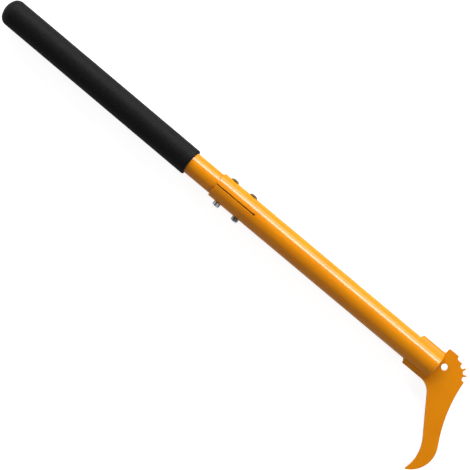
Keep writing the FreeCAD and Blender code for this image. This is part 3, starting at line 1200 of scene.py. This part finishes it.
    def placed(self, name: str, mesh: Mesh, turns: tuple[float, float]) -> Mesh:
        """Copies of a fastener at both places.

        Args:
            name: Name of the new mesh.
            mesh: The fastener on the Y axis.
            turns: Angle in degrees at which each stopped.

        Returns:
            The two fasteners as one mesh.
        """
        spots = []
        for x, turn in zip(self.places, turns):
            rotation = Matrix.Rotation(math.radians(turn), 4, "Y")
            spots.append(Matrix.Translation(Vector((x, 0, 0))) @ rotation)
        return joined(name, mesh, spots)

    def paint_streaks(self, mesh: Mesh) -> None:
        """Marks the corners of the hexagons for painted dark streaks, which stand in for
        reflections between the facets.

        Args:
            mesh: The two nuts.
        """
        spots = np.empty(3 * len(mesh.vertices))
        mesh.vertices.foreach_get("co", spots)
        x, _, z = spots.reshape(-1, 3).T
        along = np.min([np.abs(x - place) for place in self.places], axis=0)
        depth = np.hypot(along, z) - self.painted_streak_radius
        shares = np.clip(depth / (self.nut_corner_radius - self.painted_streak_radius), 0, 1)
        mesh.attributes.new("painted_streak", "FLOAT", "POINT").data.foreach_set("value", shares)

    def build(self) -> None:
        """Makes the bolts and nuts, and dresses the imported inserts."""
        bolt = self.thread_tree().grown(loft("cross_bolt", self.bolt_rings()), {
            "Pitch": self.thread_pitch, "Depth": self.thread_depth,
            "Start": self.tip + self.thread_length, "End": self.tip + self.tip_bevel / 2,
            "Material": self.bolt_plating.material(),
        })
        bolt.set_sharp_from_angle(angle=math.radians(self.bolt_sharp_angle))
        bolts = self.placed("cross_bolts", bolt, self.bolt_turns)
        settle("cross_bolts", bolts, Slot.ZINC, "clamp_bolts")
        nut = loft("nut", self.nut_rings())
        nut.materials.append(self.nut_plating.material())
        nut.shade_smooth()
        nut.set_sharp_from_angle(angle=math.radians(self.nut_sharp_angle))
        nuts = self.placed("hex_lock_nuts", nut, self.nut_turns)
        self.paint_streaks(nuts)
        settle("hex_lock_nuts", nuts, Slot.ZINC, "lock_nuts")
        dress("nut_inserts", self.nylon.material())


@dataclass
class Lamp:
    """A soft rectangular lamp that hangs to one side and faces the handle."""

    name: str
    angle: float
    distance: float
    x_from: float
    x_to: float
    width: float
    radiance: float
    turn: float = 0.0

    def build(self) -> None:
        """Hangs the lamp over the crown side, or turned from there about the upright."""
        long = self.x_to - self.x_from
        data = bpy.data.lights.new(self.name, "AREA")
        data.shape = "RECTANGLE"
        data.size = long
        data.size_y = self.width
        data.energy = self.radiance * math.pi * long * self.width
        middle = Matrix.Translation(Vector(((self.x_from + self.x_to) / 2, 0, self.distance)))
        tilt = Matrix.Rotation(-math.radians(self.angle), 4, "X")
        lamp = shown(self.name, data)
        lamp.matrix_world = Matrix.Rotation(math.radians(self.turn), 4, "Z") @ tilt @ middle
        lamp.visible_camera = False


@dataclass
class Studio:
    """Plain pale floor, soft light and a backdrop that is white at the horizon."""

    floor_size: float = 24.0
    floor_colour: Colour = (0.32, 0.32, 0.32, 1.0)
    floor_glow: float = 0.88
    white: Colour = (1.0, 1.0, 1.0, 1.0)
    horizon: float = 1.0
    sky: float = 0.09
    zenith: float = 0.04
    sky_rises: tuple[float, float] = (0.12, 0.3)
    zenith_rises: tuple[float, float] = (0.9, 0.98)
    lamps: tuple[Lamp, ...] = (
        Lamp("edge_lamp", 51.0, 1.35, x_from=-2.4, x_to=1.0, width=0.42, radiance=9.2),
        Lamp("side_lamp", 75.0, 1.6, x_from=-2.4, x_to=1.6, width=0.6, radiance=4.4),
        Lamp("head_lamp", 56.0, 3.2, x_from=-1.0, x_to=1.0, width=1.0, radiance=3.9, turn=-90.0),
        Lamp("butt_lamp", 56.0, 3.2, x_from=-1.0, x_to=1.0, width=1.0, radiance=3.5, turn=90.0),
    )

    def floor(self) -> None:
        """Lays the floor under the grip: white to look at, and it keeps the shadow."""
        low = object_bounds()[0][2]
        half = self.floor_size / 2
        mesh = bpy.data.meshes.new("floor")
        corners = [(-half, -half, low), (half, -half, low), (half, half, low), (-half, half, low)]
        mesh.from_pydata(corners, [], [(0, 1, 2, 3)])
        graph = Shading("floor")
        path = graph.add("ShaderNodeLightPath").outputs
        mirrored = graph.calc("MAXIMUM", path["Is Glossy Ray"], path["Is Transmission Ray"])
        seen = graph.calc("MAXIMUM", path["Is Camera Ray"], mirrored)
        strength = graph.product(seen, self.floor_glow)
        glow = graph.add("ShaderNodeEmission", {"Strength": strength})
        matt = graph.add("ShaderNodeBsdfDiffuse", {"Color": self.floor_colour})
        both = graph.add("ShaderNodeAddShader", {0: matt.outputs[0], 1: glow.outputs[0]})
        graph.add("ShaderNodeOutputMaterial", {"Surface": both.outputs[0]})
        mesh.materials.append(graph.material)
        shown("floor", mesh)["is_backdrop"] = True

    def backdrop(self) -> None:
        """Sets the world: white round the horizon, dimmer above and dark straight overhead."""
        world = bpy.data.worlds.new("studio")
        world.use_nodes = True
        graph = Graph(world.node_tree)
        graph.tree.nodes.clear()
        way = graph.add("ShaderNodeTexCoord").outputs["Generated"]
        rise = graph.add("ShaderNodeSeparateXYZ", {"Vector": way}).outputs["Z"]
        level = graph.remap(rise, *self.sky_rises, self.horizon, self.sky)
        level = graph.remap(rise, *self.zenith_rises, level, self.zenith)
        glow = graph.add("ShaderNodeBackground", {"Color": self.white, "Strength": level})
        graph.add("ShaderNodeOutputWorld", {"Surface": glow.outputs[0]})
        bpy.context.scene.world = world

    def build(self) -> None:
        """Sets up floor, backdrop and lamps, and the plain view of colours."""
        self.floor()
        self.backdrop()
        for lamp in self.lamps:
            lamp.build()
        bpy.context.scene.view_settings.view_transform = "Standard"


@dataclass
class PhotoCamera:
    """Long lens straight over the plate, with the handle across the picture's diagonal."""

    middle: Point = (231.0 * MM, -31.5 * MM)
    height: float = 3.008
    turn: float = 39.92
    lens: float = 200.0

    def build(self) -> None:
        """Places the camera and makes it the scene's own."""
        data = bpy.data.cameras.new("photo_camera")
        data.lens = self.lens
        camera = shown("photo_camera", data)
        camera.location = (*self.middle, self.height)
        camera.rotation_euler = (0, 0, math.radians(self.turn))
        bpy.context.scene.camera = camera


def main() -> None:
    """Builds the sub-assemblies in order."""
    logging.basicConfig(level=logging.INFO, format="%(name)s: %(message)s")
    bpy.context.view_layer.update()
    clamp_end, mouth = (corner.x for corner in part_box("main_tube"))
    FoamGrip(FoamFinish()).build()
    Tubes(
        PowderCoat("main_tube_paint", dressed_end=mouth),
        # The grip tube gets painted shade where it runs inside the main tube.
        PowderCoat("grip_tube_paint", painted_shade_from=clamp_end),
        Plastic("plug_plastic", srgb(22, 22, 23), srgb(34, 34, 36)),
    ).build()
    ClampSet(
        # The bolts' grey zinc is tinted warm brown: the tint is a painted reflection of the orange
        # paint round them.
        Plating("bolt_plating", srgb(146, 134, 108), srgb(96, 86, 66), roughness=0.38),
        # The nuts' corners get painted dark streaks, a painted reflection.
        Plating("nut_plating", painted_streak_colour=srgb(48, 46, 44)),
        Plastic("nylon_ring", srgb(196, 200, 206), srgb(216, 220, 226), roughness=0.4),
    ).build()
    HookHead(PowderCoat("plate_paint"), PowderCoat("bead_paint", coat=0.35)).build()
    Studio().build()
    PhotoCamera().build()


if __name__ == "__main__":
    main()
